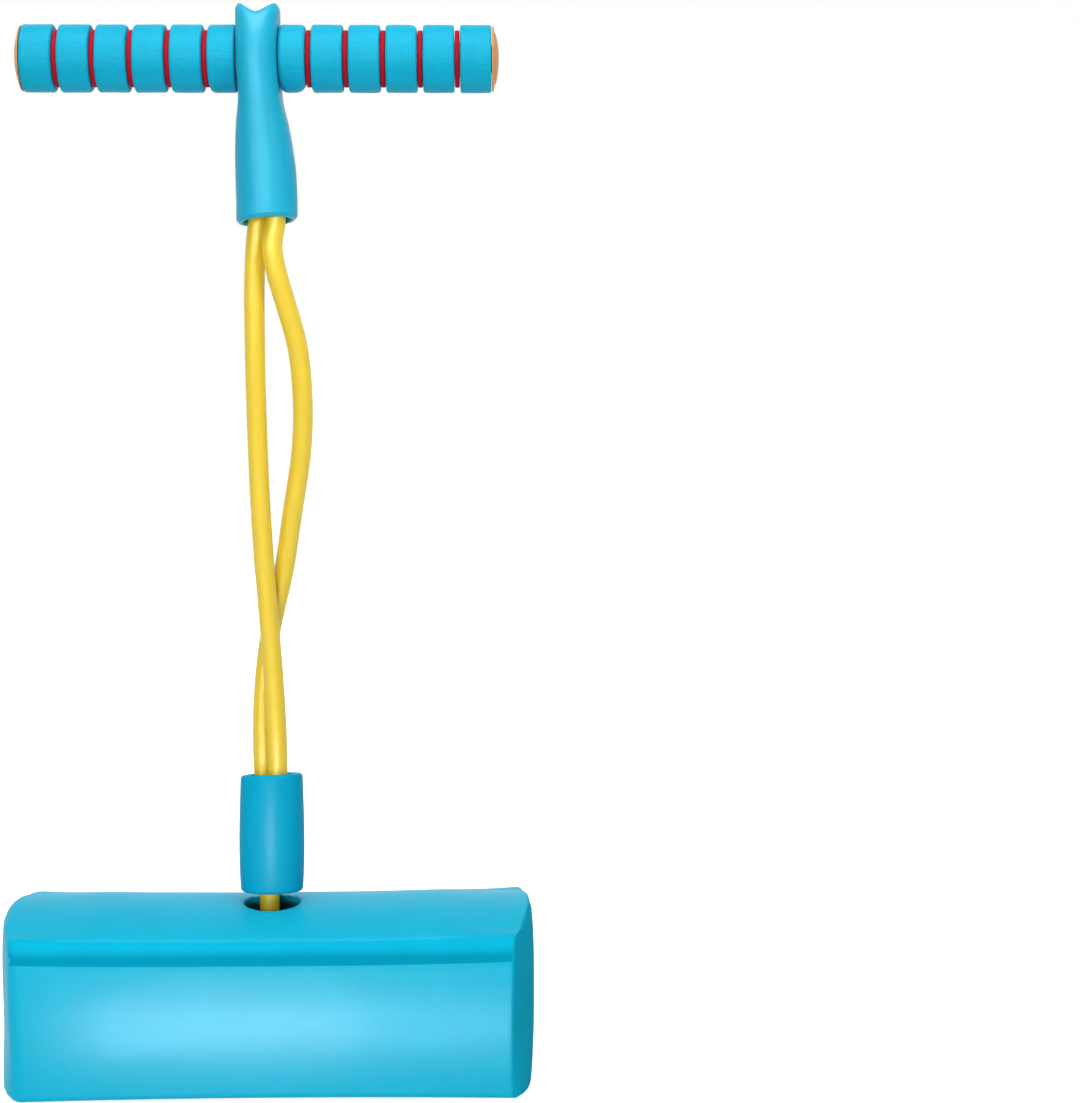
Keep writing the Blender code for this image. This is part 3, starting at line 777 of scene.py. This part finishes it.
def ring_piece(name, start, width, sign, edges, look, seed):
    """A foam ring with rounded edges that differ round it, as (inner end, outer end) roundings by angle."""
    bore = CORE_DIAMETER / 2 + GAP
    outer = RING_DIAMETER / 2
    steps = 5
    flat = 7
    columns = []
    for k in range(RING_SIDES):
        turn = 2 * math.pi * k / RING_SIDES
        first = edges[0](turn)
        last = edges[1](turn)
        profile = [(bore, 0.0), (outer - first, 0.0)]
        for i in range(1, steps + 1):
            a = math.pi / 2 * i / steps
            profile.append((outer - first * (1 - math.sin(a)), first * (1 - math.cos(a))))
        for i in range(1, flat):
            profile.append((outer, first + (width - first - last) * i / flat))
        for i in range(steps + 1):
            a = math.pi / 2 * i / steps
            profile.append((outer - last * (1 - math.cos(a)), width - last * (1 - math.sin(a))))
        profile.append((bore, width))
        column = []
        for radius, along in profile:
            y = math.cos(turn)
            z = math.sin(turn)
            spot = Vector((seed + along * RING_PACE, y * radius * RING_PACE, z * radius * RING_PACE))
            bumpy = radius
            if radius > bore:
                bumpy += RING_SWELL * noise.noise(spot) + RING_GRAIN * noise.noise(spot * 5)
            uneven = RING_SHIFT * noise.noise(spot * 0.8 + Vector((7, 3, 1)))
            x = sign * (start + along) + uneven * min(1, along / RING_SHIFT_FADE)
            column.append((x, bumpy * y, BAR_Z + bumpy * z))
        columns.append(column)
    loops = [[column[i] for column in columns] for i in range(len(columns[0]))]
    return mesh_piece(name, *bridge(loops, True), look, 50)


def edge_rounding(base, spots):
    """A rounding by angle round the handle: a base radius, larger near some angles (0 back, 90 up)."""

    def at(turn):
        found = base
        for degrees, amount, spread in spots:
            away = math.degrees(abs((turn - math.radians(degrees) + math.pi) % (2 * math.pi) - math.pi))
            found += amount * math.exp(-((away / spread) ** 2))
        return found

    return at


def handle_turned(name, profile, sign, start, look, ring=True, sharp=38):
    """A piece turned round the handle's axis, from a profile of (radius, place past the start)."""
    placed = [(radius, sign * (start + place)) for radius, place in profile]
    points, faces = turned(placed, "X", ring, TURNED_SIDES, (0, 0, BAR_Z))
    return mesh_piece(name, points, faces, look, sharp)


def make_handle(ring_look, spacer_look, cap_look, core_look):
    bore = CORE_DIAMETER / 2 + GAP
    for side, sign in (("left", -1), ("right", 1)):
        along = RING_START
        for number in range(1, RINGS_PER_SIDE + 1):
            width = INNER_RING_WIDTH if number == 1 else RING_WIDTH
            spots = CUT_EDGES.get((side, number), ([], []))
            inner_edge = INNER_RING_EDGE[side] if number == 1 else RING_EDGE
            edges = [edge_rounding(inner_edge, spots[0]), edge_rounding(RING_EDGE, spots[1])]
            seed = number * 3.7 + (40 if sign > 0 else 0)
            swell = INNER_RING_SWELL[side] if number == 1 else 0
            name = f"grip_{side}_{number}"
            ring = ring_piece(name, along - swell, width + swell, sign, edges, ring_look, seed)
            dress(ring, "handle", f"grip_ring_{side}_{number}")
            along += width + GAP
            if number < RINGS_PER_SIDE:
                wide = SPACER_DIAMETER / 2
                long = SPACER_WIDTH
                profile = [(bore, 0), (wide - 0.5 * MM, 0), (wide - 0.12 * MM, 0.15 * MM), (wide, 0.6 * MM)]
                profile += [(r, long - a) for r, a in reversed(profile)]
                spacer = handle_turned(f"spacer_{side}_{number}", profile, sign, along, spacer_look, sharp=60)
                dress(spacer, "handle", f"grip_spacer_{side}_{number}")
                along += long + GAP
        make_cap(side, sign, along, cap_look)
    core_end = along - GAP
    core_outer = CORE_DIAMETER / 2 - GAP / 2
    profile = [(CORE_BORE / 2, -core_end), (core_outer, -core_end)]
    profile += [(core_outer, core_end * (i / 8 - 1)) for i in range(1, 16)]
    profile += [(core_outer, core_end), (CORE_BORE / 2, core_end)]
    profile += [(CORE_BORE / 2, core_end * (1 - i / 8)) for i in range(1, 16)]
    core = handle_turned("grip_core", profile, 1, 0, core_look)
    dress(core, "handle", "handle_core")


def make_cap(side, sign, along, look):
    """A domed plug with a soft rim, pressed into the core's end."""
    stem = CORE_BORE / 2 - GAP
    wide = CAP_DIAMETER / 2
    profile = [(stem - MM, -PLUG_LENGTH), (stem, MM - PLUG_LENGTH), (stem, 0)]
    profile += [(wide - CAP_EDGE, 0), (wide, CAP_EDGE)]
    for i in range(CAP_STEPS):
        share = math.cos(math.pi / 2 * i / CAP_STEPS)
        groove = CAP_GROOVE * math.exp(-(((share - CAP_GROOVE_AT) / CAP_GROOVE_WIDE) ** 2))
        profile.append((wide * share, CAP_RIM + CAP_DOME * (1 - share**2.2) - groove))
    cap = handle_turned(f"cap_{side}", profile, sign, along, look, False)
    dress(cap, "handle", f"end_cap_{side}")


def make_crimps(look):
    """Pressed rings on the cord's ends, with two pressed grooves each."""
    for end in ("front", "back"):
        node = f"cord_crimp_{end}"
        low, high = (Vector(corner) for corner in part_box(node))
        outer = (high.x - low.x) / 2
        bore = outer - CRIMP_WALL
        tall = high.z - low.z
        edge = 0.5 * MM
        profile = [(bore, 0), (outer - edge, 0), (outer, edge)]
        for share in (0.33, 0.67):
            for aside, depth in ((-0.9, 0), (-0.4, 0.55), (0.4, 0.55), (0.9, 0)):
                profile.append((outer - depth * MM, tall * share + aside * MM))
        profile += [(outer, tall - edge), (outer - edge, tall), (bore, tall)]
        centre = ((low.x + high.x) / 2, (low.y + high.y) / 2, low.z)
        crimp = mesh_piece(f"crimp_{end}", *turned(profile, "Z", True, CRIMP_SIDES, centre), look)
        dress(crimp, "base", node)


def make_squeaker(foot_look, bellows_look):
    """The pressed foot with tread rings, and the folded bellows above it."""
    centre = (SQUEAKER_X, 0, 0)
    low, high = FOOT_LEVELS
    wide = SQUEAKER_WIDE
    edge = 0.4 * MM
    hub = 2 * MM
    profile = [(hub, low)]
    for inner in FOOT_GROOVES:
        for out, rise in ((0, 0), (0.3, 1), (1.7, 1), (2, 0)):
            profile.append((inner + out * MM, low + rise * FOOT_GROOVE))
    profile += [(wide - MM, low), (wide - 0.3 * MM, low + 0.3 * MM), (wide, low + MM)]
    profile += [(wide, high - edge), (wide - edge, high), (hub, high)]
    foot = mesh_piece("squeaker_pad", *turned(profile, "Z", False, HOLE_SIDES, centre), foot_look)
    dress(foot, "squeaker", "squeaker_foot")
    low = high + GAP
    high = POCKET_DEPTH - GAP
    outside = []
    steps = 12 * BELLOWS_FOLDS
    for i in range(steps + 1):
        share = i / steps
        fold = BELLOWS_FOLD * (0.5 + 0.5 * math.cos(2 * math.pi * BELLOWS_FOLDS * share))
        outside.append((wide - fold, low + (high - low) * share))
    wall = BELLOWS_WALL
    inside = [(r - wall, min(max(z, low + wall), high - wall)) for r, z in outside[2:-2]]
    hole = REED_DIAMETER / 2 + GAP
    middle = REED_DIAMETER / 4
    profile = [(middle, low)] + outside + [(hole, high), (hole, high - wall)]
    profile += list(reversed(inside)) + [(middle, low + wall)]
    folded = turned(profile, "Z", False, HOLE_SIDES, centre)
    bellows = mesh_piece("squeaker_folds", *folded, bellows_look)
    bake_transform(bellows)
    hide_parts("squeaker_bellows")


def dress(piece, body, node):
    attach(piece, body)
    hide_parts(node)


def paint_node(name, look):
    """Gives a CAD node that stays a finished material."""
    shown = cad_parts[name]
    shown.data.materials.clear()
    shown.data.materials.append(look)


def ray_mix(tree, seen, unseen):
    """A colour or strength for camera, glossy and transmission rays, and another for the rest."""
    path = add_node(tree, "ShaderNodeLightPath", {})
    either = combine(tree, "MAXIMUM", path.outputs["Is Camera Ray"], path.outputs["Is Glossy Ray"])
    any_of = combine(tree, "MAXIMUM", either, path.outputs["Is Transmission Ray"])
    return add_node(
        tree, "ShaderNodeMapRange", {"Value": any_of, "To Min": unseen, "To Max": seen}
    ).outputs["Result"]


def make_world(ambient, room):
    """White to the camera. Glossy rays see the white backdrop behind the object and a dimmer room."""
    world = bpy.data.worlds.new("studio")
    bpy.context.scene.world = world
    world.use_nodes = True
    tree = world.node_tree
    back = tree.nodes["Background"]
    back.inputs["Color"].default_value = (1, 1, 1, 1)
    where = add_node(tree, "ShaderNodeTexCoord", {}).outputs["Generated"]
    depth = add_node(tree, "ShaderNodeSeparateXYZ", {"Vector": where}).outputs["Y"]
    shown = add_node(
        tree,
        "ShaderNodeMapRange",
        {"Value": depth, "From Min": -0.15, "From Max": 0.3, "To Min": room, "To Max": 1.0},
    ).outputs["Result"]
    path = add_node(tree, "ShaderNodeLightPath", {})
    mirrored = combine(
        tree, "MAXIMUM", path.outputs["Is Glossy Ray"], path.outputs["Is Transmission Ray"]
    )
    unseen = add_node(
        tree, "ShaderNodeMapRange", {"Value": mirrored, "To Min": ambient, "To Max": shown}
    ).outputs["Result"]
    strength = add_node(
        tree,
        "ShaderNodeMapRange",
        {"Value": path.outputs["Is Camera Ray"], "To Min": unseen, "To Max": 1.0},
    ).outputs["Result"]
    tree.links.new(strength, back.inputs["Strength"])


def make_floor():
    size = 6.0
    corners = [(-size, -size, 0), (size, -size, 0), (size, size, 0), (-size, size, 0)]
    look = bpy.data.materials.new("floor_white")
    look.use_nodes = True
    tree = look.node_tree
    shader = tree.nodes["Principled BSDF"]
    shader.inputs["Base Color"].default_value = (0.65, 0.65, 0.65, 1)
    shader.inputs["Roughness"].default_value = 0.9
    shader.inputs["Specular IOR Level"].default_value = 0
    shader.inputs["Emission Color"].default_value = (1, 1, 1, 1)
    tree.links.new(ray_mix(tree, 0.8, 0.0), shader.inputs["Emission Strength"])
    floor = mesh_piece("floor", corners, [(0, 1, 2, 3)], look)
    floor.location.z = -0.2 * MM


def make_light(name, place, aim, size, power, diffuse=True, gloss=True, spread=180):
    lamp = bpy.data.lights.new(name, "AREA")
    lamp.shape = "RECTANGLE"
    lamp.size, lamp.size_y = size
    lamp.energy = power
    lamp.spread = math.radians(spread)
    made = bpy.data.objects.new(name, lamp)
    made.location = place
    made.rotation_euler = (Vector(aim) - Vector(place)).to_track_quat("-Z", "Y").to_euler()
    made.visible_camera = False
    made.visible_diffuse = diffuse
    made.visible_glossy = gloss
    bpy.context.collection.objects.link(made)


def make_camera():
    lens = bpy.data.cameras.new("camera")
    lens.sensor_width = 36
    lens.lens = 77.65
    lens.clip_start = 0.01
    made = bpy.data.objects.new("camera", lens)
    place = Vector((0.103, -1.12, 0.4195))
    aim = Vector((0.1299, 0, 0.2557))
    made.location = place
    made.rotation_euler = (aim - place).to_track_quat("-Z", "Y").to_euler()
    bpy.context.collection.objects.link(made)
    bpy.context.scene.camera = made


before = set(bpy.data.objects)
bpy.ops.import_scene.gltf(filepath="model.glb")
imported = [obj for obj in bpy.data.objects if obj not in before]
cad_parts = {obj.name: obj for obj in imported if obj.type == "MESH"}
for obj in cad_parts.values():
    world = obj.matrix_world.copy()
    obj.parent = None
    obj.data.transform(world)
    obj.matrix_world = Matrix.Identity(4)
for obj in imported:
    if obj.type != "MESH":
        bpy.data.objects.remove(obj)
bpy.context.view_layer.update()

FOAM_BLUE = (0.004, 0.425, 0.63)
SLEEVE_BLUE = (0.004, 0.315, 0.475)
COLLAR_BLUE = (0.002, 0.335, 0.53)
GRIP_BLUE = (0.002, 0.32, 0.485)
CORD_YELLOW = (0.73, 0.52, 0.022)
SPACER_RED = (0.46, 0.008, 0.022)
CAP_ORANGE = (0.56, 0.25, 0.085)
CORD_GRAIN = (1, 1, 0.15)  # drawn out along the cord
GRIP_GRAIN = (0.35, 1, 1)  # and along the handle

# Looks: a colour, its roughness, specular level and mottling, and the pace and depth of its grain
base_look = soft_look("base_foam_skin", FOAM_BLUE, 0.42, 0.07, 0.035, 900, 0.12 * MM)
# Painted shade on the base's shoulders: darker towards the crease at their foot.
shoulder_painted_shade = (FACE_TOP + 3 * MM, FACE_TOP + 8.5 * MM, (0.3, 0.66, 0.7))
shaded_shoulder_look = soft_look(
    "base_foam_shoulder_painted_shade", FOAM_BLUE, 0.5, 0.0, 0.035, 900, 0.12 * MM, painted_shade=shoulder_painted_shade
)
cut_look = soft_look("base_foam_cut", FOAM_BLUE, 0.85, 0.02, 0.05, 800, 0.3 * MM)
# Painted shade in the base's bore: its wall darkens below the rim.
bore_painted_shade = (BASE_HEIGHT - 5 * MM, BASE_HEIGHT - 0.6 * MM, (0.12, 0.12, 0.14))
shaded_bore_look = soft_look("base_foam_bore_painted_shade", FOAM_BLUE, 0.85, 0.02, 0.05, 800, 0.3 * MM, painted_shade=bore_painted_shade)
sleeve_look = soft_look("sleeve_foam_skin", SLEEVE_BLUE, 0.42, 0.2, 0.03, 1000, 0.1 * MM)
collar_look = soft_look("collar_foam_skin", COLLAR_BLUE, 0.45, 0.02, 0.03, 1000, 0.1 * MM)
grip_look = soft_look("grip_foam", GRIP_BLUE, 0.55, 0.06, 0.06, 700, 0.35 * MM, GRIP_GRAIN)
spacer_look = soft_look("spacer_foam", SPACER_RED, 0.8, 0.02, 0.06, 800, 0.3 * MM)
cord_look = soft_look("cord_rubber", CORD_YELLOW, 0.36, 0.45, 0.03, 600, 0.05 * MM, CORD_GRAIN)
# Painted shade on the cord where it leaves the base's hole under the lower sleeve: darker towards the base.
mouth_painted_shade = (PIVOT_Z + 6 * MM, PIVOT_Z + 13 * MM, (0.5, 0.5, 0.2))
shaded_mouth_look = soft_look(
    "cord_rubber_painted_shade", CORD_YELLOW, 0.5, 0.15, 0.03, 600, 0.05 * MM, CORD_GRAIN, mouth_painted_shade
)
cap_look = soft_look("cap_plastic", CAP_ORANGE, 0.42, 0.15, 0.03, 1200, 0.06 * MM)
white_look = soft_look("core_plastic", (0.8, 0.8, 0.78), 0.45, 0.4, 0.02, 1200, 0.05 * MM)
grey_look = soft_look("plate_plastic", (0.3, 0.3, 0.32), 0.5, 0.4, 0.05, 1000, 0.08 * MM)
dark_look = soft_look("dark_plastic", (0.1, 0.1, 0.11), 0.5, 0.4, 0.05, 1000, 0.08 * MM)
for soft in (grip_look, spacer_look):
    shader = soft.node_tree.nodes["Principled BSDF"]
    shader.inputs["Sheen Weight"].default_value = 0.1
    shader.inputs["Sheen Roughness"].default_value = 0.3

make_camera()
make_cord(cord_look, shaded_mouth_look)
make_base(base_look, shaded_shoulder_look, cut_look, shaded_bore_look)
make_lower_sleeve(collar_look)
make_upper_sleeve(sleeve_look)
make_handle(grip_look, spacer_look, cap_look, white_look)
make_crimps(dark_look)
make_squeaker(grey_look, white_look)
paint_node("anchor_plate", grey_look)
paint_node("squeaker_reed", dark_look)

make_world(ambient=0.42, room=0.05)
make_floor()

# Lamps: a place, an aim, a width and height, and a power; some light only the gloss, or all but it
make_light("top_front", (0.0, -0.3, 1.35), (0, 0, 0.45), (0.9, 0.4), 8.4, gloss=False)
make_light("ring_gloss", (0.0, -0.25, 1.1), (0, 0, 0.49), (0.8, 0.3), 2.3, diffuse=False, spread=70)
make_light("key", (-0.25, -1.5, 0.3), (0, 0, 0.2), (0.6, 0.9), 14.4, gloss=False)
make_light("back_key", (0.1, 1.5, 0.4), (0, 0, 0.2), (0.8, 0.9), 11, gloss=False)
make_light("right_fill", (1.0, -0.8, 0.55), (0.01, 0, 0.47), (0.3, 0.3), 0.2, gloss=False, spread=30)
make_light("sleeve_gloss", (0.05, -1.15, 0.7), (0, 0, 0.47), (0.35, 0.6), 0.9, diffuse=False, spread=30)
make_light("cord_gloss", (-0.55, -1.0, 0.5), (0, 0, 0.34), (0.15, 0.6), 0.5, diffuse=False, spread=40)
make_light(
    "collar_gloss", (0.0, -0.115, 0.121), (0, 0, 0.118), (0.008, 0.014), 0.075, diffuse=False, spread=50
)
for name, x, width, power in (("front_gloss_wide", 0.015, 0.23, 0.68), ("front_gloss", -0.03, 0.14, 0.52)):
    make_light(name, (x, -0.127, 0.012), (x, -BASE_DEPTH / 2, 0.04), (width, 0.01), power, diffuse=False)

bpy.context.scene.view_settings.view_transform = "Standard"
